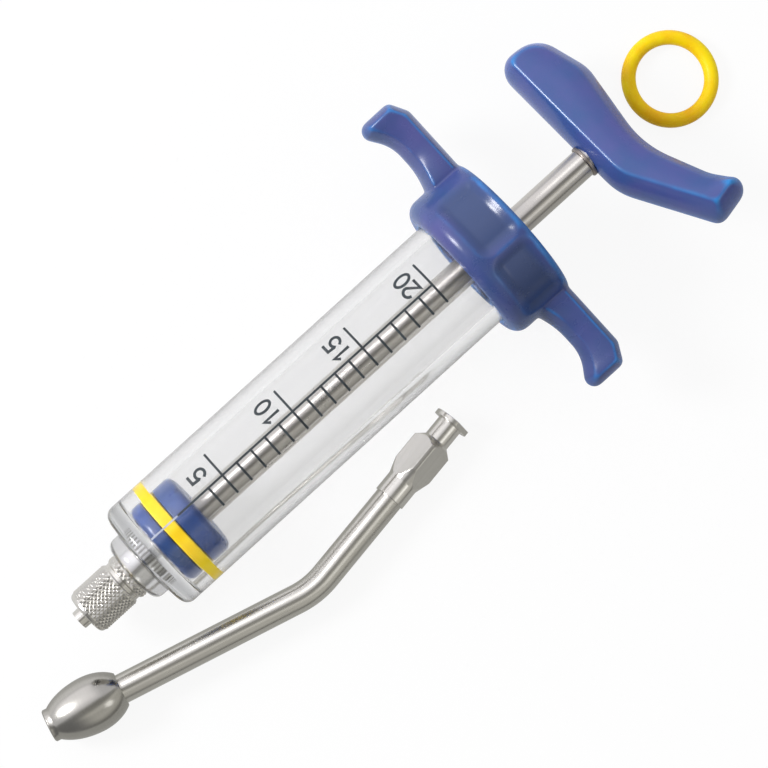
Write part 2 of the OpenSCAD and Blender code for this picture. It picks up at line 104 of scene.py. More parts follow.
def tone(r, g, b):  # a display tone, 0 to 255, as a linear colour
    def straight(v):
        v /= 255
        return v / 12.92 if v <= 0.04045 else ((v + 0.055) / 1.055) ** 2.4
    return (straight(r), straight(g), straight(b), 1)


def feed(tree, socket, value):  # a link from another node, or a plain value
    if isinstance(value, bpy.types.NodeSocket):
        tree.links.new(value, socket)
    else:
        socket.default_value = value


def feedAll(tree, node, values):
    for label, value in values.items():
        feed(tree, node.inputs[label], value)
    return node


def startGroup(name, takes, gives):
    group = bpy.data.node_groups.new(name, "ShaderNodeTree")
    for label, value in takes.items():
        kind = direction if isinstance(value, tuple) else number
        socket = group.interface.new_socket(name=label, in_out="INPUT", socket_type=kind)
        socket.default_value = value
    for label, kind in gives.items():
        group.interface.new_socket(name=label, in_out="OUTPUT", socket_type=kind)
    return group, group.nodes.new("NodeGroupInput").outputs, group.nodes.new("NodeGroupOutput")


def addNode(tree, kind, **settings):
    node = tree.nodes.new("ShaderNode" + kind)
    for key, value in settings.items():
        setattr(node, key, value)
    return node


def objectSpot(tree):
    return addNode(tree, "TexCoord").outputs["Object"]


def splitVector(tree, vector):
    return feedAll(tree, addNode(tree, "SeparateXYZ"), {0: vector}).outputs


def addMath(tree, operation, *values, clamp=False):
    node = addNode(tree, "Math", operation=operation, use_clamp=clamp)
    return feedAll(tree, node, dict(enumerate(values))).outputs[0]


def addVector(tree, operation, a, b):
    node = addNode(tree, "VectorMath", operation=operation)
    feedAll(tree, node, {0: a, "Scale" if operation == "SCALE" else 1: b})
    return node.outputs["Value" if operation == "DOT_PRODUCT" else "Vector"]


def addSpread(tree, value, low, high, outLow=0.0, outHigh=1.0, smooth=False):
    node = addNode(tree, "MapRange", interpolation_type="SMOOTHSTEP" if smooth else "LINEAR")
    limits = {"From Min": low, "From Max": high, "To Min": outLow, "To Max": outHigh}
    return feedAll(tree, node, {"Value": value, **limits}).outputs[0]


def addNoise(tree, vector, scale, detail=3.0, rough=0.55):
    values = {"Vector": vector, "Scale": scale, "Detail": detail, "Roughness": rough}
    return feedAll(tree, addNode(tree, "TexNoise"), values).outputs["Fac"]


def addMix(tree, share, under, over):
    return feedAll(tree, addNode(tree, "MixShader"), {0: share, 1: under, 2: over}).outputs[0]


# shared effects, each a group that is placed in the materials below
def makeMouldGrain(cloudSpan=(0.3, 0.7)):
    scales = {"Cloud Scale": 90.0, "Grain Scale": 2500.0}
    group, takes, gives = startGroup("mouldGrain", scales, {"Mask": number, "Height": number})
    spot = objectSpot(group)
    clouds = addNoise(group, spot, takes["Cloud Scale"], detail=4)
    grain = addNoise(group, spot, takes["Grain Scale"], detail=2)
    feedAll(group, gives, {"Mask": addSpread(group, clouds, *cloudSpan), "Height": grain})
    return group


# lighter edges: wear in patches, and a painted highlight along the bends
def makeEdgeWear(patchSpan=(0.35, 0.6), patchShare=(0.5, 1.0)):
    values = {"Edge": 0.5, "Onset": 0.52, "Full": 0.6, "Patch Scale": 300.0}
    group, takes, gives = startGroup("edgeWearAndHighlight", values, {"Mask": number})
    edge = addSpread(group, takes["Edge"], takes["Onset"], takes["Full"], smooth=True)
    patches = addNoise(group, objectSpot(group), takes["Patch Scale"])
    patchy = addSpread(group, patches, *patchSpan, *patchShare)
    feedAll(group, gives, {"Mask": addMath(group, "MULTIPLY", edge, patchy, clamp=True)})
    return group


def makeSoftEdge():
    group, takes, gives = startGroup("softEdge", {"Width": 0.0002}, {"Normal": direction})
    bevel = feedAll(group, addNode(group, "Bevel", samples=6), {"Radius": takes["Width"]})
    feedAll(group, gives, {"Normal": bevel.outputs[0]})
    return group


def makeToolLines(flattened=0.985):
    values = {"Along": (0.0, 0.0, 1.0), "Round Scale": 9000.0, "Length Scale": 2500.0}
    group, takes, gives = startGroup("toolLines", values, {"Turned": number, "Drawn": number})
    spot = objectSpot(group)
    depth = addVector(group, "DOT_PRODUCT", spot, takes["Along"])
    turned = addNode(group, "TexNoise", noise_dimensions="1D")  # rings left by the lathe
    feedAll(group, turned, {"W": depth, "Scale": takes["Round Scale"], "Detail": 2})
    back = addVector(group, "SCALE", takes["Along"], addMath(group, "MULTIPLY", depth, flattened))
    flat = addVector(group, "SUBTRACT", spot, back)  # streaks left by drawing, stretched along the piece
    drawn = addNoise(group, flat, takes["Length Scale"])
    feedAll(group, gives, {"Turned": turned.outputs["Fac"], "Drawn": drawn})
    return group


def makeHandlingMarks(smudgeSpan=(0.35, 0.7)):
    values = {"Smudge Scale": 70.0, "Speck Scale": 1400.0, "Speck Share": 0.3}
    group, takes, gives = startGroup("handlingMarks", values, {"Smudge": number, "Specks": number})
    spot = objectSpot(group)
    clouds = addNoise(group, spot, takes["Smudge Scale"], detail=5, rough=0.65)
    smudge = addSpread(group, clouds, *smudgeSpan)
    dots = addNode(group, "TexVoronoi", feature="F1")
    feedAll(group, dots, {"Vector": spot, "Scale": takes["Speck Scale"]})
    near = addMath(group, "LESS_THAN", dots.outputs["Distance"], takes["Speck Share"])
    feedAll(group, gives, {"Smudge": smudge, "Specks": addMath(group, "MULTIPLY", near, smudge)})
    return group


# painted highlights: a mask of the tooth ridges, and of the plain stretch before them
def makeToothMarks(toothSpan=(0.2, 0.3), halfTooth=0.5):
    values = {
        "Origin": (0.0, 0.0, 0.0), "Up": (0.0, 0.0, 1.0), "Along": (1.0, 0.0, 0.0), "Teeth": 40.0, "Start": 0.0,
    }
    group, takes, gives = startGroup("toothGlints", values, {"Mask": number})
    spot = addVector(group, "SUBTRACT", objectSpot(group), takes["Origin"])
    up, along = (addVector(group, "DOT_PRODUCT", spot, takes[label]) for label in ("Up", "Along"))
    around = addMath(group, "ARCTAN2", splitVector(group, spot)["Y"], up)
    turns = addMath(group, "DIVIDE", around, 2 * math.pi)
    tooth = addMath(group, "PINGPONG", addMath(group, "MULTIPLY", turns, takes["Teeth"]), halfTooth)
    plain = addMath(group, "LESS_THAN", along, takes["Start"])
    feedAll(group, gives, {"Mask": addMath(group, "MAXIMUM", addSpread(group, tooth, *toothSpan), plain)})
    return group


mouldGrain = makeMouldGrain()
edgeWearAndHighlight = makeEdgeWear()
softEdge = makeSoftEdge()
toolLines = makeToolLines()
handlingMarks = makeHandlingMarks()
toothGlints = makeToothMarks()
print("shader groups made")


# material helpers
def setSurface(tree, out, shown):
    tree.links.new(shown, out.inputs["Surface"])


def outputOf(tree):
    return next(node for node in tree.nodes if node.bl_idname == "ShaderNodeOutputMaterial")


def startMaterial(name):
    material = bpy.data.materials.new(name)
    material.use_nodes = True
    tree = material.node_tree
    tree.nodes.clear()
    shader = addNode(tree, "BsdfPrincipled")
    setSurface(tree, addNode(tree, "OutputMaterial"), shader.outputs[0])
    return material, tree, shader


def place(tree, group, **values):
    node = addNode(tree, "Group")
    node.node_tree = group
    feedAll(tree, node, {label.replace("_", " "): value for label, value in values.items()})
    return node.outputs


def blendTone(tree, mask, a, b):
    node = addNode(tree, "Mix", data_type="RGBA")
    return feedAll(tree, node, {0: mask, 6: a, 7: b}).outputs[2]  # the colour sockets


def addBump(tree, height, strength, distance, **more):
    values = {"Strength": strength, "Distance": distance, "Height": height, **more}
    return feedAll(tree, addNode(tree, "Bump"), values).outputs[0]


# finishes
nylonLook = {
    "body": tone(84, 84, 154), "deep": tone(54, 86, 146), "wornAndHighlit": tone(40, 136, 210), "panelShade": None,
    "rough": (0.18, 0.3), "moulded": True, "edge": (0.25, 0.8), "sheen": 0.3, "shine": 0.5,
}
# the grip's nylon is a darker copy of the handle's: painted shade
shadedGripLook = dict(
    nylonLook, body=tone(76, 78, 140), deep=tone(46, 76, 126), wornAndHighlit=tone(46, 116, 188), panelShade=tone(52, 70, 114),
    rough=(0.2, 0.33), edge=(0.25, 0.85),
)
pistonLook = {
    "body": tone(10, 58, 136), "deep": tone(0, 52, 104), "wornAndHighlit": tone(70, 110, 190), "panelShade": None,
    "rough": (0.24, 0.38), "moulded": False, "edge": (0.53, 0.62), "sheen": 0.1, "shine": 0.7,
}


def makeNylon(name, look):
    material, tree, shader = startMaterial(name)
    grain = place(tree, mouldGrain, Cloud_Scale=70.0, Grain_Scale=2600.0)
    if look["moulded"]:  # bends measured on the mesh
        edge = addNode(tree, "Attribute", attribute_name="bend").outputs["Fac"]
    else:
        edge = addNode(tree, "NewGeometry").outputs["Pointiness"]
    onset, full = look["edge"]
    wearAndHighlight = place(tree, edgeWearAndHighlight, Edge=edge, Onset=onset, Full=full, Patch_Scale=260.0)
    marks = place(tree, handlingMarks, Smudge_Scale=90.0)
    body = blendTone(tree, grain["Mask"], look["deep"], look["body"])
    if look["panelShade"]:  # painted shade in the sunk panels
        sunk = addNode(tree, "Attribute", attribute_name="sunk").outputs["Fac"]
        body = blendTone(tree, sunk, body, look["panelShade"])
    feedAll(tree, shader, {
        # the bends are painted lighter: partly wear, partly a painted highlight
        "Base Color": blendTone(tree, wearAndHighlight["Mask"], body, look["wornAndHighlit"]),
        "Roughness": addSpread(tree, marks["Smudge"], 0, 1, *look["rough"]),
        "Normal": addBump(tree, grain["Height"], strength=0.12, distance=0.00006),
        "Specular IOR Level": look["shine"],
        "Sheen Weight": look["sheen"], "Sheen Roughness": 0.35, "Sheen Tint": tone(30, 150, 255),
    })
    return material


# the seal ring's rubber is a lighter copy of the spare's: painted light against the dimming of the barrel's wall
litSealLook = {
    "body": tone(255, 228, 2), "shade": tone(252, 208, 2), "dust": tone(255, 238, 80),
    "rough": (0.3, 0.48), "shine": 0.25,
}
spareLook = dict(litSealLook, body=tone(255, 228, 4), shade=tone(248, 184, 4))


def makeRubber(name, look):
    material, tree, shader = startMaterial(name)
    grain = place(tree, mouldGrain, Cloud_Scale=160.0, Grain_Scale=5200.0)
    marks = place(tree, handlingMarks, Smudge_Scale=220.0, Speck_Scale=2600.0, Speck_Share=0.18)
    body = blendTone(tree, grain["Mask"], look["shade"], look["body"])
    feedAll(tree, shader, {
        "Base Color": blendTone(tree, marks["Specks"], body, look["dust"]),
        "Roughness": addSpread(tree, marks["Smudge"], 0, 1, *look["rough"]),
        "Normal": addBump(tree, grain["Height"], strength=0.15, distance=0.00005),
        "Specular IOR Level": look["shine"],
    })
    return material


metalLook = {
    "along": (0.0, 0.0, 1.0), "drawn": 1500.0, "turned": 8200.0, "drawnShare": 0.4, "edge": 0.0001,
    "bump": 0.05, "stretch": "",
}
rodLook = dict(
    metalLook, bright=tone(214, 211, 207), dull=tone(196, 192, 186), rough=(0.26, 0.34),
    drawn=2600.0, turned=5200.0, drawnShare=0.75, bump=0.03, stretch="Z",
)
tubeLook = dict(
    rodLook, bright=tone(226, 224, 219), dull=tone(202, 199, 192), rough=(0.24, 0.32),
    along=(1.0, 0.0, 0.0), drawnShare=0.85, stretch="X",
)
# the washer is painted darker than the rod: painted shade where the rod meets the handle
washerLook = dict(rodLook, bright=tone(170, 162, 156), dull=tone(138, 130, 124), rough=(0.3, 0.45), stretch="")
oliveLook = dict(
    metalLook, bright=tone(204, 202, 198), dull=tone(174, 171, 164), rough=(0.17, 0.27), drawnShare=0.3,
)
hubLook = dict(
    metalLook, bright=tone(236, 234, 233), dull=tone(204, 201, 191), rough=(0.16, 0.28),
    along=(0.9898, 0.1411, 0.0), edge=0.00025, bump=0.0,  # along the hub, in the part's own frame
)
knurlLook = dict(
    metalLook, bright=tone(234, 232, 229), dull=tone(192, 189, 181), rough=(0.12, 0.26),
    along=(0.9986, 0.0, 0.0531), edge=0.00006,  # along the syringe, in the part's own frame
)


def makeMetal(name, look, unevenSpan=(0.2, 0.8)):
    material, tree, shader = startMaterial(name)
    lines = place(tree, toolLines, Along=look["along"], Length_Scale=look["drawn"], Round_Scale=look["turned"])
    marks = place(tree, handlingMarks, Smudge_Scale=140.0)
    soft = place(tree, softEdge, Width=look["edge"])
    share = look["drawnShare"]
    drawn = addMath(tree, "MULTIPLY", lines["Drawn"], share)
    turned = addMath(tree, "MULTIPLY", lines["Turned"], 1 - share)
    streaks = addMath(tree, "ADD", drawn, turned)
    uneven = addMath(tree, "MULTIPLY", addMath(tree, "ADD", streaks, marks["Smudge"]), 0.5)
    feedAll(tree, shader, {
        "Metallic": 1.0,
        "Base Color": blendTone(tree, streaks, look["dull"], look["bright"]),
        "Roughness": addSpread(tree, uneven, *unevenSpan, *look["rough"]),
        "Normal": addBump(tree, streaks, look["bump"], distance=0.00004, Normal=soft["Normal"]),
    })
    if look["stretch"]:  # reflections stretch along the piece
        tangent = addNode(tree, "Tangent", direction_type="RADIAL", axis=look["stretch"]).outputs[0]
        feedAll(tree, shader, {"Anisotropic": 0.9, "Anisotropic Rotation": 0.25, "Tangent": tangent})
    return material


insertLook = {
    "teeth": 40.0, "start": 0.00035, "groove": tone(196, 194, 191), "ridgeGlint": pureWhite, "rough": (0.16, 0.2),
}


def makeInsert(name, look, lay):
    material, tree, shader = startMaterial(name)
    c, s = cosSin(lay["pitch"])
    teeth = place(
        tree, toothGlints, Origin=tuple(alongSyringe.translation), Up=(-s, 0.0, c), Along=(c, 0.0, s),
        Teeth=look["teeth"], Start=look["start"],
    )
    marks = place(tree, handlingMarks, Smudge_Scale=140.0)
    feedAll(tree, shader, {
        "Metallic": 1.0,
        # the ridges and plain stretch are painted white as glints, the grooves grey
        "Base Color": blendTone(tree, teeth["Mask"], look["groove"], look["ridgeGlint"]),
        "Roughness": addSpread(tree, marks["Smudge"], 0, 1, *look["rough"]),
    })
    return material


# the boss, front wall and sides are a little frosted, over spans in metres, and the front wall and boss are tinted
# grey as painted shade
clearLook = {
    "body": tone(244, 244, 244), "frontShadeTint": tone(193, 194, 195), "bossShadeTint": tone(213, 213, 214),
    "rough": (0.04, 0.09), "frontRough": 0.1, "sideRough": 0.2, "index": 1.5, "shadow": tone(236, 236, 237),
    "frontSpan": (0.0022, 0.0045), "bossSpan": (-0.0008, 0.0002), "sideSpan": (0.008, 0.0115),
}
firstDepth = 0.5  # a ray's depth counts in whole steps


def makeClear(name, look):
    material, tree, shader = startMaterial(name)
    marks = place(tree, handlingMarks, Smudge_Scale=60.0)
    lines = place(tree, toolLines, Along=(0.0, 0.0, 1.0), Length_Scale=420.0)
    depth = splitVector(tree, objectSpot(tree))
    inFront = addSpread(tree, depth["Z"], *look["frontSpan"], 1.0, 0.0, smooth=True)
    onBoss = addSpread(tree, depth["Z"], *look["bossSpan"], 1.0, 0.0, smooth=True)
    body = blendTone(tree, inFront, look["body"], look["frontShadeTint"])
    front = addMath(tree, "MULTIPLY", inFront, look["frontRough"])
    aside = addMath(tree, "ABSOLUTE", depth["Y"])
    side = addSpread(tree, aside, *look["sideSpan"], 0.0, look["sideRough"], smooth=True)
    smudged = addSpread(tree, marks["Smudge"], 0, 1, *look["rough"])
    feedAll(tree, shader, {
        "Transmission Weight": 1.0, "IOR": look["index"],
        "Base Color": blendTone(tree, onBoss, body, look["bossShadeTint"]),
        "Roughness": addMath(tree, "MAXIMUM", addMath(tree, "MAXIMUM", front, side), smudged),
        "Normal": addBump(tree, lines["Drawn"], strength=0.05, distance=0.00008),
    })
    # light falls through the wall on what is inside, and the metal mirrors it without its own glints
    ray = addNode(tree, "LightPath").outputs
    outside = addMath(tree, "LESS_THAN", ray["Transmission Depth"], firstDepth)
    mirrored = addMath(tree, "MULTIPLY", ray["Is Glossy Ray"], outside)
    through = addNode(tree, "BsdfTransparent")
    feedAll(tree, through, {"Color": blendTone(tree, mirrored, look["shadow"], pureWhite)})
    passed = addMath(tree, "MAXIMUM", ray["Is Shadow Ray"], mirrored)
    setSurface(tree, outputOf(tree), addMix(tree, passed, shader.outputs[0], through.outputs[0]))
    return material


inkLook = {"full": tone(26, 34, 40), "thin": tone(52, 62, 68), "rough": (0.45, 0.7)}
leadReflectionLook = dict(inkLook, full=tone(150, 156, 176), thin=tone(196, 200, 212))  # the scale's first stretch, painted pale as a reflection off its ink


def makeInk(name, look):
    material, tree, shader = startMaterial(name)
    marks = place(tree, handlingMarks, Smudge_Scale=380.0)
    feedAll(tree, shader, {
        "Base Color": blendTone(tree, marks["Smudge"], look["full"], look["thin"]),
        "Roughness": addSpread(tree, marks["Smudge"], 0, 1, *look["rough"]),
    })
    return material


gasketLook = {"body": tone(208, 210, 208), "shade": tone(188, 190, 190), "rough": (0.5, 0.7)}


def makeGasket(name, look):
    material, tree, shader = startMaterial(name)
    grain = place(tree, mouldGrain, Cloud_Scale=200.0, Grain_Scale=4200.0)
    feedAll(tree, shader, {
        "Base Color": blendTone(tree, grain["Mask"], look["shade"], look["body"]),
        "Roughness": addSpread(tree, grain["Mask"], 0, 1, *look["rough"]),
        "Normal": addBump(tree, grain["Height"], strength=0.2, distance=0.00005),
    })
    return material


handleNylon = makeNylon("handleNylon", nylonLook)
shadedGripNylon = makeNylon("shadedGripNylon", shadedGripLook)
pistonNylon = makeNylon("pistonNylon", pistonLook)
sealRubber = makeRubber("sealRubber", litSealLook)
spareRubber = makeRubber("spareRubber", spareLook)
rodSteel = makeMetal("rodSteel", rodLook)
washerSteel = makeMetal("washerSteel", washerLook)
tubeSteel = makeMetal("tubeSteel", tubeLook)
oliveNickel = makeMetal("oliveNickel", oliveLook)
hubNickel = makeMetal("hubNickel", hubLook)
knurlNickel = makeMetal("knurlNickel", knurlLook)
insertNickel = makeInsert("insertNickel", insertLook, syringeLay)
clearPlastic = makeClear("clearPlastic", clearLook)
printInk = makeInk("printInk", inkLook)
leadReflectionInk = makeInk("leadReflectionInk", leadReflectionLook)
sealGrey = makeGasket("sealGrey", gasketLook)
print("materials made")


# shape helpers, in millimetres
def meshFrom(name, points, faces):
    mesh = bpy.data.meshes.new(name)
    mesh.from_pydata([tuple(Vector(p) * mm) for p in points], [], faces)
    shape = bmesh.new()
    shape.from_mesh(mesh)
    bmesh.ops.recalc_face_normals(shape, faces=shape.faces)
    shape.to_mesh(mesh)
    shape.free()
    return mesh


def finishPiece(piece, spot, body, replaced=()):
    scene.collection.objects.link(piece)
    piece.matrix_world = spot
    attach(piece, body)
    if replaced:
        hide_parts(*replaced)


def addPiece(name, points, faces, spot, material, body, slot, sharp, replaced=()):
    mesh = meshFrom(name, points, faces)
    mesh.polygons.foreach_set("use_smooth", [True] * len(mesh.polygons))
    mesh.set_sharp_from_angle(angle=math.radians(sharp))
    mesh.materials.append(material)
    finishPiece(bpy.data.objects.new(name, mesh), spot, body, replaced)


def softOutline(corners, steps=10):  # spots and outward normals round (x, y, radius) corners
    rim = []
    for i, (x, y, r) in enumerate(corners):
        before, here = Vector(corners[i - 1][:2]), Vector((x, y))
        after = Vector(corners[(i + 1) % len(corners)][:2])
        if r <= 0:
            rim.append((here, Vector((0, 0))))
            continue
        u, v = (before - here).normalized(), (after - here).normalized()
        half = math.acos(max(-1, min(1, u.dot(v)))) / 2
        middle = here + (u + v).normalized() * (r / math.sin(half))
        start = here + u * (r / math.tan(half)) - middle
        bulge = 1 if u.x * v.y - u.y * v.x < 0 else -1
        sweep = bulge * (math.pi - 2 * half)
        for k in range(steps + 1):
            c, s = math.cos(sweep * k / steps), math.sin(sweep * k / steps)
            ray = Vector((start.x * c - start.y * s, start.x * s + start.y * c))
            rim.append((middle + ray, ray * (bulge / r)))
    return rim


def turnedRim(corners, steps=8):
    return [tuple(point) for point, normal in softOutline(corners, steps)]


def turnedMesh(rim, steps):
    points, rings, faces = [], [], []
    turns = [2 * math.pi * i / steps for i in range(steps)]
    for radius, height in rim:
        if radius < 1e-5:  # one point on the axis
            rings.append([len(points)] * steps)
            points.append((0, 0, height))
        else:
            rings.append(list(range(len(points), len(points) + steps)))
            points += [(radius * math.cos(a), radius * math.sin(a), height) for a in turns]
    for low, high in zip(rings, rings[1:] + rings[:1]):
        for i in range(steps):
            after = (i + 1) % steps
            face = list(dict.fromkeys((low[i], low[after], high[after], high[i])))
            if len(face) > 2:
                faces.append(face)
    return points, faces


def addTurned(name, rim, spot, material, body, slot, replaced, steps=128, sharp=40):
    addPiece(name, *turnedMesh(rim, steps), spot, material, body, slot, sharp, replaced)


def bulgedPlate(corners, depth, edge, power=2.2, steps=14, layersPerSide=10):
    rim = softOutline(corners, steps)
    shares = [1 - k / layersPerSide for k in range(layersPerSide + 1)]
    lower = [(edge * share ** power, -depth / 2 * share) for share in shares]
    layers = lower + [(inset, -height) for inset, height in reversed(lower[:-1])]
    n, last = len(rim), len(layers) - 1
    points = [(*(spot - normal * inset), height) for inset, height in layers for spot, normal in rim]
    faces = []
    for k in range(last):
        low, high = k * n, (k + 1) * n
        faces += [(low + i, low + (i + 1) % n, high + (i + 1) % n, high + i) for i in range(n)]
    faces += [tuple(range(n)), tuple(range(last * n, (last + 1) * n))]
    return points, faces


def easeStep(value, low, high):
    t = np.clip((value - low) / (high - low), 0, 1)
    return t * t * (3 - 2 * t)


def joinParts(parts):
    points, faces = [], []
    for somePoints, someFaces in parts:
        faces += [tuple(i + len(points) for i in face) for face in someFaces]
        points += list(somePoints)
    return points, faces


def settled(piece, kind, **settings):  # one modifier applied to the piece's mesh
    modifier = piece.modifiers.new("step", kind)
    for key, value in settings.items():
        setattr(modifier, key, value)
    mesh = bpy.data.meshes.new_from_object(piece.evaluated_get(bpy.context.evaluated_depsgraph_get()))
    piece.modifiers.clear()
    piece.data = mesh


def readPoints(mesh, label):
    values = np.zeros(len(mesh.vertices) * 3)
    mesh.vertices.foreach_get(label, values)
    return values.reshape(-1, 3)


def measureBend(mesh, voxel, rounds=6):  # how sharply the surface bends outwards, per millimetre
    count = len(mesh.vertices)
    spots, normals = readPoints(mesh, "co") / mm, readPoints(mesh, "normal")
    pairs = np.zeros(len(mesh.edges) * 2, dtype=np.int32)
    mesh.edges.foreach_get("vertices", pairs)
    ends = np.concatenate((pairs[0::2], pairs[1::2]))
    others = np.concatenate((pairs[1::2], pairs[0::2]))
    share = 1 / np.maximum(np.bincount(ends, minlength=count), 1)

    def around(values):  # mean of the neighbours
        return np.bincount(ends, weights=values[others], minlength=count) * share

    pull = np.column_stack([around(spots[:, k]) for k in range(3)]) - spots
    bend = -4 * (pull * normals).sum(axis=1) / voxel ** 2  # four neighbours, a voxel away
    for turn in range(rounds):
        bend = (bend + around(bend)) / 2
    return bend


def addMoulded(name, parts, look, spot, material, body, replaced, form, lastRounds=5):
    piece = bpy.data.objects.new(name, meshFrom(name, *joinParts(parts)))
    scene.collection.objects.link(piece)
    settled(piece, "REMESH", mode="VOXEL", voxel_size=look["voxel"] * mm)
    settled(piece, "SMOOTH", factor=0.5, iterations=look["rounds"])
    formed, sunk = form(readPoints(piece.data, "co") / mm)
    piece.data.vertices.foreach_set("co", (formed * mm).ravel())
    piece.data.attributes.new("sunk", "FLOAT", "POINT").data.foreach_set("value", sunk)
    settled(piece, "SMOOTH", factor=0.5, iterations=lastRounds)
    mesh = piece.data
    bend = measureBend(mesh, look["voxel"])
    mesh.attributes.new("bend", "FLOAT", "POINT").data.foreach_set("value", bend)
    mesh.name = name
    mesh.materials.clear()
    mesh.materials.append(material)
    mesh.polygons.foreach_set("use_smooth", [True] * len(mesh.polygons))
    scene.collection.objects.unlink(piece)
    finishPiece(piece, spot, body, replaced)


def paint(material, *names):
    for name in names:
        for holder in cadNodes[name].material_slots:
            holder.material = material


# clear barrel
barrel = {
    "outer": 12.2, "bore": 9.35, "length": 92.0, "frontWall": 3.8, "corner": 2.1, "rearCorner": 0.6,
    "mouthCorner": 0.3, "floorCorner": 0.7,
    "bossRadius": 7.3, "bossFront": -3.7, "bossCorner": 1.9, "bossFoot": 0.5,
    "pocket": 4.68, "pocketDepth": 2.4, "passage": 1.1,
}


def makeBarrel(b):
    rim = turnedRim([
        (b["pocket"], b["bossFront"], 0),
        (b["bossRadius"], b["bossFront"], b["bossCorner"]),
        (b["bossRadius"], 0, b["bossFoot"]),
        (b["outer"], 0, b["corner"]),
        (b["outer"], b["length"], b["rearCorner"]),
        (b["bore"], b["length"], b["mouthCorner"]),
        (b["bore"], b["frontWall"], b["floorCorner"]),
        (b["passage"], b["frontWall"], 0),
        (b["passage"], b["pocketDepth"], 0),
        (b["pocket"], b["pocketDepth"], 0),
    ])
    addTurned("clearBarrel", rim, alongSyringe, clearPlastic, "barrel", "clear_plastic", ("barrel",), steps=192)


makeBarrel(barrel)
print("barrel made")

# dose scale printed round the top of the barrel, in millimetres across and along it
doseScale = {
    "radius": 12.2, "lift": 0.035, "sunk": 0.01, "base": -2.05, "zero": 4.6, "perDose": 3.64,
    "doses": 20, "first": 4, "numbered": 5, "leadEnd": 11.0, "leadLine": 0.36,
    "shortTo": 2.25, "longFrom": -7.75, "line": 0.44, "tick": 0.48,
    "numberHeight": 3.4, "numberWidth": 2.25, "numberGap": 2.05, "numberStart": -3.0, "figureGap": 0.55,
    "aloneShift": -1.3, "pen": 0.6, "sharp": 30,
}


def bow(cx, cy, rx, ry, start, end, steps):
    turns = [math.radians(start + (end - start) * k / steps) for k in range(steps + 1)]
    return [(cx + rx * math.cos(a), cy + ry * math.sin(a)) for a in turns]


figures = {  # strokes in shares of a figure's width and height
    "0": [bow(0.5, 0.5, 0.46, 0.5, 90, 450, 28)],
    "1": [[(0.22, 0.78), (0.52, 1.0), (0.52, 0.0)]],
    "2": [bow(0.5, 0.72, 0.44, 0.28, 165, -20, 14) + [(0.08, 0.0), (0.95, 0.0)]],
    "5": [[(0.9, 1.0), (0.16, 1.0), (0.1, 0.56)] + bow(0.46, 0.31, 0.46, 0.31, 135, -150, 18)],
}


def strokeRibbon(path, width, leastMitre=0.5):  # the two sides of a pen stroke
    closed = (Vector(path[0]) - Vector(path[-1])).length < 1e-6
    spots = [Vector(p) for p in (path[:-1] if closed else path)]
    last = len(spots) - 1
    sides = []
    for i, here in enumerate(spots):
        starts, ends = not closed and i == 0, not closed and i == last
        along = []
        if not starts:
            along.append((here - spots[i - 1]).normalized())
        if not ends:
            along.append((spots[(i + 1) % len(spots)] - here).normalized())
        normals = [Vector((-d.y, d.x)) for d in along]
        middle = sum(normals, Vector((0, 0))).normalized()
        reach = middle * (width / 2 / max(leastMitre, middle.dot(normals[0])))
        push = along[0] * (width / 2 * (ends - starts))  # square ends
        sides.append((here + push + reach, here + push - reach))
    return sides, closed


def printMesh(ribbons, p):
    points, faces = [], []
    for sides, closed in ribbons:
        first, count = len(points), len(sides)
        for left, right in sides:
            for spot, lift in ((left, p["lift"]), (right, p["lift"]), (right, -p["sunk"]), (left, -p["sunk"])):
                a, r = spot.x / p["radius"], p["radius"] + lift
                points.append((r * math.cos(a), r * math.sin(a), spot.y))
        for i in range(count if closed else count - 1):
            low, high = first + 4 * i, first + 4 * ((i + 1) % count)
            faces += [(low + k, low + (k + 1) % 4, high + (k + 1) % 4, high + k) for k in range(4)]
        if not closed:
            faces += [tuple(end + k for k in range(4)) for end in (first, first + 4 * (count - 1))]
    return points, faces


def lineSteps(start, end, step=0.8):  # short steps follow the barrel's round
    a, b = Vector(start), Vector(end)
    n = max(1, round((b - a).length / step))
    return [tuple(a.lerp(b, k / n)) for k in range(n + 1)]


def numberStrokes(p, dose, z):
    strokes = []
    start = p["numberStart"] + (p["aloneShift"] if len(str(dose)) == 1 else 0)
    foot = z - p["numberGap"]
    for order, figure in enumerate(str(dose)):
        reading = start - order * (p["numberWidth"] + p["figureGap"])
        for stroke in figures[figure]:
            strokes.append([(reading - u * p["numberWidth"], foot - v * p["numberHeight"]) for u, v in stroke])
    return strokes


def makeDoseScale(p):
    end = p["zero"] + p["doses"] * p["perDose"]
    lead = [strokeRibbon([(p["base"], p["zero"]), (p["base"], p["leadEnd"])], p["leadLine"])]
    addPiece("doseLead", *printMesh(lead, p), alongSyringe, leadReflectionInk, "barrel", "seal_rubber", p["sharp"])
    ribbons = [strokeRibbon([(p["base"], p["leadEnd"] + p["line"]), (p["base"], end)], p["line"])]
    for dose in range(p["first"], p["doses"] + 1):
        z = p["zero"] + dose * p["perDose"]
        isLong = dose % p["numbered"] == 0
        start = p["longFrom"] if isLong else p["base"]
        ribbons.append(strokeRibbon(lineSteps((start, z), (p["shortTo"], z)), p["tick"]))
        if isLong:
            ribbons += [strokeRibbon(stroke, p["pen"]) for stroke in numberStrokes(p, dose, z)]
    addPiece("doseScale", *printMesh(ribbons, p), alongSyringe, printInk, "barrel", "seal_rubber", p["sharp"])


makeDoseScale(doseScale)
print("dose scale printed")

# piston, seal ring, rod and washer
piston = {
    "radius": 9.2, "front": 4.2, "slotFront": 7.2, "slotRear": 10.3, "rear": 14.7, "corner": 1.5,
    "slotCorner": 0.25, "spigot": 6.35, "rod": 3.0, "rodEnd": 124.3, "rodCorner": 0.3,
}
sealRing = {  # squeezed flat against the bore
    "inner": 6.4, "outer": 9.37, "front": 7.42, "rear": 10.08, "corner": 0.35, "innerCorner": 1.2,
}
washer = {"radius": 3.5, "from": 116.9, "to": 117.7, "corner": 0.3, "edge": 0.1}


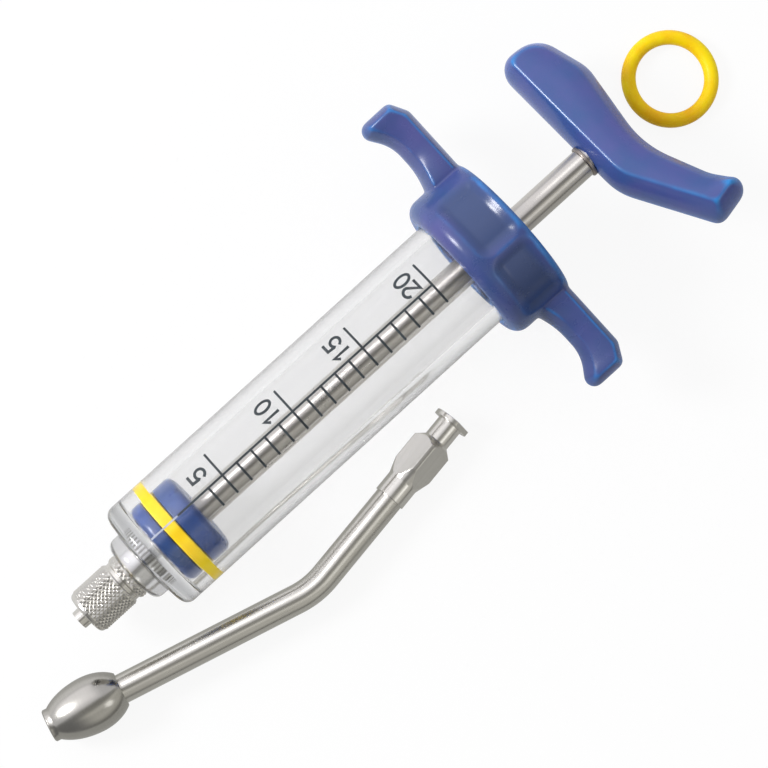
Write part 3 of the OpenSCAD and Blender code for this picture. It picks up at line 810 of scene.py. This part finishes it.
def makePlunger(p, s, w):
    front = turnedRim([
        (0, p["front"], 0),
        (p["radius"], p["front"], p["corner"]),
        (p["radius"], p["slotFront"], p["slotCorner"]),
        (p["spigot"], p["slotFront"], 0),
        (p["spigot"], p["slotRear"], 0),
        (0, p["slotRear"], 0),
    ])
    rear = turnedRim([
        (p["rod"], p["slotRear"], 0),
        (p["radius"], p["slotRear"], p["slotCorner"]),
        (p["radius"], p["rear"], p["corner"]),
        (p["rod"], p["rear"], p["rodCorner"]),
    ])
    ring = turnedRim([
        (s["inner"], s["front"], s["innerCorner"]),
        (s["outer"], s["front"], s["corner"]),
        (s["outer"], s["rear"], s["corner"]),
        (s["inner"], s["rear"], s["innerCorner"]),
    ])
    rod = turnedRim([
        (0, p["slotRear"], 0),
        (p["rod"], p["slotRear"], 0),
        (p["rod"], p["rodEnd"], p["rodCorner"]),
        (0, p["rodEnd"], 0),
    ])
    collar = turnedRim([
        (p["rod"], w["from"], w["edge"]),
        (w["radius"], w["from"], w["corner"]),
        (w["radius"], w["to"], w["edge"]),
        (p["rod"], w["to"], 0),
    ])
    addTurned("pistonFront", front, alongSyringe, pistonNylon, "plunger", "blue_nylon", ("piston_front",))
    addTurned("pistonRear", rear, alongSyringe, pistonNylon, "plunger", "blue_nylon", ("piston_rear",))
    addTurned(
        "pistonRing", ring, alongSyringe, sealRubber, "piston_ring", "yellow_rubber", ("piston_o_ring",),
        steps=160, sharp=60,
    )
    addTurned("plungerRod", rod, alongSyringe, rodSteel, "plunger", "steel", ("plunger_rod",), steps=96)
    addTurned("rodWasher", collar, alongSyringe, washerSteel, "plunger", "steel", ("handle_washer",), steps=96)


makePlunger(piston, sealRing, washer)
print("piston and rod made")

# palm handle
palm = {
    "front": 117.7, "depth": 12.6, "edge": 2.2, "corner": 2.5, "turn": 16, "thick": 26.4, "swept": 28.3,
    "rise": 20.3, "rearFrom": 3, "voxel": 0.24, "rounds": 40,
    "rollDrop": 2.6, "rollWidth": 8.0, "rollEnd": (22.0, 26.0),
}


def palmCorners(h):  # in shares of the arms' reach and of the rise
    t, s, r = h["thick"], h["swept"], h["rise"]
    return [
        (-t, 0, r * 0.18), (s * 0.316, 0, t / 2), (s, r * 0.505, h["corner"]), (s * 0.922, r, h["corner"]),
        (s * 0.682, r * 0.763, s / 3), (s * 0.2, r * 0.505, s * 0.75), (-t * 0.525, r * 0.665, t / 3),
        (-t, r * 0.512, r * 0.3),
    ]


def makeHandle(h):
    corners = palmCorners(h)
    rim = [spot for spot, normal in softOutline(corners)]
    perCorner = len(rim) // len(corners)
    rearLine = np.array(rim[h["rearFrom"] * perCorner:][::-1])

    def form(spots):  # the faces roll off towards the palm
        x, y, z = spots.T.copy()
        inside = np.interp(x, rearLine[:, 0], rearLine[:, 1]) - y
        roll = np.clip(1 - inside / h["rollWidth"], 0, 1) * (1 - easeStep(x, *h["rollEnd"]))
        rolled = z * (1 - roll ** 2 * h["rollDrop"] / h["depth"] * 2)
        return np.column_stack((x, y, rolled)), np.zeros(len(x))

    # the plate is drawn across the rod, its face upwards
    across = Matrix(((0, 0, 1, 0), (1, 0, 0, 0), (0, 1, 0, 0), (0, 0, 0, 1)))
    turn = Matrix.Rotation(math.radians(-h["turn"]), 4, "Z")
    spot = alongSyringe @ Matrix.Translation((0, 0, h["front"] * mm)) @ turn @ across
    plate = bulgedPlate(corners, h["depth"], h["edge"])
    addMoulded("palmHandle", [plate], h, spot, handleNylon, "plunger", ("plunger_handle",), form)


makeHandle(palm)
print("handle made")

# finger grip: collar and wings moulded in one, with sunk panels and crowned wings
grip = {
    "radius": 16.7, "front": 83.8, "rear": 98.2, "rim": 3.0, "rearRim": 1.1, "bore": 12.25, "boreCorner": 0.5,
    "floor": 93.05, "rodHole": 3.05, "holeCorner": 0.3, "steps": 160, "voxel": 0.25, "rounds": 12,
}
gripWing = {
    "root": 14.45, "tip": 34.8, "rear": 98.1, "rootWidth": 9.1, "tipWidth": 11.9, "corner": 2.0,
    "waist": 7.2, "waistFrom": 0.307, "waistTo": 0.661,
    "bevelLength": 4.1, "bevelWidth": 2.2, "edge": 1.6, "depth": 12.0, "crown": 0.4, "crownSpan": (16.4, 24.0),
    "rearFrom": 4,
}
gripPanel = {
    "turns": (-22.5, 37.5, 157.5, 217.5), "width": 14.2, "length": 7.8, "middle": 92.3, "depth": 0.9,
    "corner": 1.6, "soft": 1.4, "outside": (14.4, 15.6), "wingRoot": (16.0, 17.2), "facing": 1.3, "beyond": 99,
}


def wingCorners(w):
    root, tip, rear, edge = w["root"], w["tip"], w["rear"], w["edge"]
    reach = tip - root
    return [
        (root, rear - w["rootWidth"], edge),
        (root + reach * w["waistFrom"], rear - w["waist"], tip / 2),
        (root + reach * w["waistTo"], rear - w["waist"], tip / 4),
        (tip, rear - w["tipWidth"], w["corner"]),
        (tip, rear - w["bevelWidth"], edge),
        (tip - w["bevelLength"], rear, edge),
        (root, rear, edge),
    ]


def panelShare(p, radius, angle, z):  # 1 inside a sunk panel, 0 outside
    sunk = np.zeros(len(z))
    for turn in p["turns"]:
        off = np.radians((angle - turn + 180) % 360 - 180)
        aside = np.where(np.abs(off) < p["facing"], np.abs(radius * np.sin(off)), p["beyond"])
        side = aside - p["width"] / 2 + p["corner"]
        length = np.abs(z - p["middle"]) - p["length"] / 2 + p["corner"]
        outer = np.hypot(np.maximum(side, 0), np.maximum(length, 0))
        gap = outer + np.minimum(np.maximum(side, length), 0) - p["corner"]
        sunk = np.maximum(sunk, easeStep(-gap, -p["soft"], p["soft"]))
    return sunk


def makeGrip(g, w, p):
    collar = turnedMesh(turnedRim([
        (g["bore"], g["front"], g["boreCorner"]),
        (g["radius"], g["front"], g["rim"]),
        (g["radius"], g["rear"], g["rearRim"]),
        (g["rodHole"], g["rear"], g["holeCorner"]),
        (g["rodHole"], g["floor"], 0),
        (g["bore"], g["floor"], 0),
    ]), g["steps"])
    corners = wingCorners(w)
    points, faces = bulgedPlate(corners, w["depth"], w["edge"])
    wings = [([(z, side * x, y) for x, y, z in points], faces) for side in (1, -1)]
    rim = [spot for spot, normal in softOutline(corners)]
    split = w["rearFrom"] * (len(rim) // len(corners))
    frontLine, rearLine = np.array(rim[:split]), np.array(rim[split:][::-1])

    def form(spots):
        x, y, z = spots.T.copy()
        reach = np.abs(y)
        low = np.interp(reach, frontLine[:, 0], frontLine[:, 1])
        high = np.interp(reach, rearLine[:, 0], rearLine[:, 1])
        across = np.clip((z - low) / np.maximum(high - low, 0.1), 0, 1)
        onWing = easeStep(reach, *w["crownSpan"])
        x = x * (1 - onWing * w["crown"] * (1 - across) ** 2)  # the wings roll off towards the fingers
        radius, angle = np.hypot(x, y), np.degrees(np.arctan2(y, x))
        sunk = panelShare(p, radius, angle, z)
        sunk *= easeStep(radius, *p["outside"]) * (1 - easeStep(reach, *p["wingRoot"]))
        share = (radius - sunk * p["depth"]) / np.maximum(radius, 0.01)
        return np.column_stack((x * share, y * share, z)), sunk

    parts = [collar, *wings]
    addMoulded("fingerGrip", parts, g, alongSyringe, shadedGripNylon, "grip", ("finger_grip",), form)


makeGrip(grip, gripWing, gripPanel)
print("grip made")

# drench tube and olive
tube = {"outer": 3.0, "bore": 2.1, "from": 3.269, "front": 49.3, "bend": 23.5, "radius": 18.0, "end": 29.7}
olive = {
    "radius": 5.8, "front": 10.3, "rear": 8.2, "nose": 8.34466, "cut": 6.5387, "mouth": 3.4, "mouthLength": 1.1,
    "bore": 2.1, "socket": 3.0, "bevel": 0.25, "noseSteps": 24, "tailSteps": 20,
}


def makeTube(t, around=64, bendSteps=16):
    bend = math.radians(t["bend"])
    c, s = cosSin(t["bend"])
    reach = t["radius"] * math.tan(math.radians(t["bend"] / 2))
    stations = [(x, 0, 0) for x in (t["from"], t["front"] / 2, t["front"] - reach)]
    for a in (bend * k / bendSteps for k in range(1, bendSteps + 1)):
        stations.append((t["front"] - reach + t["radius"] * math.sin(a), t["radius"] * (1 - math.cos(a)), a))
    stations += [(t["front"] + d * c, d * s, bend) for d in (t["end"] / 2 + reach / 2, t["end"])]
    points, faces = [], []
    for x, y, heading in stations:
        for r in (t["outer"], t["bore"]):
            for i in range(around):
                a = 2 * math.pi * i / around
                aside = r * math.cos(a)
                points.append((x - aside * math.sin(heading), y + aside * math.cos(heading), r * math.sin(a)))

    def joinRings(low, high):
        return [(low + i, low + (i + 1) % around, high + (i + 1) % around, high + i) for i in range(around)]

    last = len(stations) - 1
    for k in range(last):
        for ring in (0, around):
            faces += joinRings(2 * around * k + ring, 2 * around * (k + 1) + ring)
    for end in (0, last):
        faces += joinRings(2 * around * end, 2 * around * end + around)
    addPiece(
        "drenchTube", points, faces, alongTube, tubeSteel, "tube", "steel", sharp=40, replaced=("drench_tube",),
    )


def makeOlive(o):
    def swell(x, half):
        return (o["radius"] * math.sqrt(1 - (x / half) ** 2), x)

    nose = [swell(-o["nose"] * (1 - k / o["noseSteps"]), o["front"]) for k in range(o["noseSteps"] + 1)]
    tail = [swell(o["cut"] * k / o["tailSteps"], o["rear"]) for k in range(1, o["tailSteps"] + 1)]
    start, bevel = -o["nose"] - o["mouthLength"], o["bevel"]
    mouth = [
        (o["bore"], start + bevel), (o["bore"] + bevel, start),
        (o["mouth"] - bevel, start), (o["mouth"], start + bevel),
    ]
    rim = mouth + nose + tail + [(o["socket"], o["cut"]), (o["bore"], o["cut"])]
    addTurned("oliveTip", rim, alongTube @ laidOver, oliveNickel, "tube", "nickel", ("olive_tip",))


makeTube(tube)
makeOlive(olive)
print("drench tube made")

# spare seal ring, lying flat
spare = {"cord": 1.52, "mid": 8.65, "spot": (86.404, 1.0, 1.52), "section": 36}


def makeSpare(s):
    turns = [2 * math.pi * j / s["section"] for j in range(s["section"])]
    rim = [(s["mid"] + s["cord"] * math.cos(a), s["cord"] * math.sin(a)) for a in turns]
    spot = Matrix.Translation(Vector(s["spot"]) * mm)
    addTurned("spareRing", rim, spot, spareRubber, "spare", "yellow_rubber", ("spare_o_ring",), sharp=60)


makeSpare(spare)
print("spare ring made")

# the other nodes keep their CAD shapes
paint(knurlNickel, "luer_tip", "lock_collar")
paint(insertNickel, "nozzle_insert")
paint(hubNickel, "luer_hub")
paint(sealGrey, "nozzle_seal", "grip_gasket")
print("CAD nodes painted")

# floor, world and lamps, in metres
floorLook = {
    "tone": tone(246, 246, 247), "seen": 0.9, "seenThrough": 0.72, "mirroredShade": (0.46, 0.46, 0.44, 1),
    "mirroredLight": (0.9, 0.9, 0.9, 1), "farSpan": (-0.012, 0.02), "rough": 0.9, "size": 3.0, "height": -0.0001,
}
coolSide, warmSide = (0.98, 0.97, 1.0), (1.0, 0.985, 0.92)
skyStrips = [  # turn about the syringe's axis, strength and tint
    (0.0, 0.2, coolSide), (0.2, 0.25, coolSide), (0.25, 0.75, coolSide), (0.285, 1.25, coolSide),
    (0.41, 1.25, coolSide), (0.465, 0.95, coolSide), (0.5, 0.25, warmSide), (0.54, 0.3, warmSide),
    (0.575, 0.7, warmSide), (0.61, 0.55, warmSide), (0.665, 0.6, warmSide), (0.695, 0.5, warmSide),
    (0.73, 0.22, warmSide), (1.0, 0.2, warmSide),
]
skyEnds = {
    "tone": (0.72, 0.72, 0.74, 1), "dark": (0.2, 0.2, 0.2, 1), "from": 0.25, "to": 0.65, "lightSpan": (-0.1, 0.15),
}
lamps = [  # name, spot, width and power
    ("keyLamp", (-0.42, 0.46, 0.5), 0.25, 4.2),
    ("fillLamp", (0.25, -0.5, 0.6), 0.3, 0.2),
]
lampAim = Vector((0, 0, 0.01))


def makeFloor(look):
    half, height = look["size"] / 2, look["height"]
    corners = [(-half, -half, height), (half, -half, height), (half, half, height), (-half, half, height)]
    mesh = bpy.data.meshes.new("paleFloor")
    mesh.from_pydata(corners, [], [(0, 1, 2, 3)])
    floor = bpy.data.objects.new("paleFloor", mesh)
    scene.collection.objects.link(floor)
    material, tree, shader = startMaterial("paleFloor")
    feedAll(tree, shader, {"Base Color": look["tone"], "Roughness": look["rough"], "Specular IOR Level": 0.0})
    ray = addNode(tree, "LightPath").outputs
    seen = addMath(tree, "MULTIPLY", ray["Is Camera Ray"], look["seen"])
    through = addMath(tree, "MULTIPLY", ray["Is Transmission Ray"], look["seenThrough"])
    glow = feedAll(tree, addNode(tree, "Emission"), {"Color": pureWhite}).outputs[0]
    pale = addMix(tree, addMath(tree, "MAXIMUM", seen, through), shader.outputs[0], glow)
    depth = splitVector(tree, addNode(tree, "NewGeometry").outputs["Position"])
    far = addSpread(tree, depth["Y"], *look["farSpan"], smooth=True)
    mirrorTone = blendTone(tree, far, look["mirroredShade"], look["mirroredLight"])  # what the metal shows of the floor: painted grey, lighter towards the lamp's side
    greyGlow = feedAll(tree, addNode(tree, "Emission"), {"Color": mirrorTone}).outputs[0]
    mirrored = addMath(tree, "SUBTRACT", ray["Is Glossy Ray"], ray["Is Transmission Ray"], clamp=True)
    setSurface(tree, outputOf(tree), addMix(tree, mirrored, pale, greyGlow))
    mesh.materials.append(material)


def stripRamp(tree, share, strips):
    ramp = feedAll(tree, addNode(tree, "ValToRGB"), {0: share})
    bands = ramp.color_ramp
    bands.interpolation = "EASE"
    while len(bands.elements) < len(strips):
        bands.elements.new(0.5)
    for element, (spot, level, tint) in zip(bands.elements, strips):
        element.position = spot
        element.color = (*(level * part for part in tint), 1)
    return ramp.outputs[0]


def makeWorld(strips, ends):
    world = bpy.data.worlds.new("studio")
    scene.world = world
    world.use_nodes = True
    tree = world.node_tree
    tree.nodes.clear()
    parts = splitVector(tree, addNode(tree, "TexCoord").outputs["Generated"])
    turn = addMath(tree, "ARCTAN2", addMath(tree, "MULTIPLY", parts["Y"], -1.0), parts["Z"])
    sky = stripRamp(tree, addSpread(tree, turn, -math.pi, math.pi), strips)
    aside = addMath(tree, "ABSOLUTE", parts["X"])
    toEnds = addSpread(tree, aside, ends["from"], ends["to"], smooth=True)
    lightSide = addSpread(tree, parts["Y"], *ends["lightSpan"], smooth=True)
    paleEnds = blendTone(tree, addMath(tree, "MULTIPLY", toEnds, lightSide), sky, ends["tone"])
    front = addSpread(tree, parts["X"], -ends["to"], -ends["from"], 1.0, 0.0, smooth=True)
    darkFront = addMath(tree, "MULTIPLY", front, addMath(tree, "SUBTRACT", 1.0, lightSide))
    skyTone = blendTone(tree, darkFront, paleEnds, ends["dark"])
    light = feedAll(tree, addNode(tree, "Background"), {"Color": skyTone}).outputs[0]
    plainWhite = feedAll(tree, addNode(tree, "Background"), {"Color": pureWhite}).outputs[0]
    ray = addNode(tree, "LightPath").outputs
    # white behind the barrel, but not where the metal mirrors it
    direct = addMath(tree, "LESS_THAN", ray["Glossy Depth"], firstDepth)
    through = addMath(tree, "MULTIPLY", ray["Is Transmission Ray"], direct)
    shown = addMath(tree, "MAXIMUM", ray["Is Camera Ray"], through)
    setSurface(tree, addNode(tree, "OutputWorld"), addMix(tree, shown, light, plainWhite))


def makeLamps(listed):
    for name, spot, size, power in listed:
        data = bpy.data.lights.new(name, "AREA")
        data.shape = "DISK"
        data.size = size
        data.energy = power
        lamp = bpy.data.objects.new(name, data)
        lamp.location = spot
        lamp.rotation_euler = (lampAim - Vector(spot)).to_track_quat("-Z", "Y").to_euler()
        scene.collection.objects.link(lamp)


makeFloor(floorLook)
makeWorld(skyStrips, skyEnds)
makeLamps(lamps)
print("floor and light set")
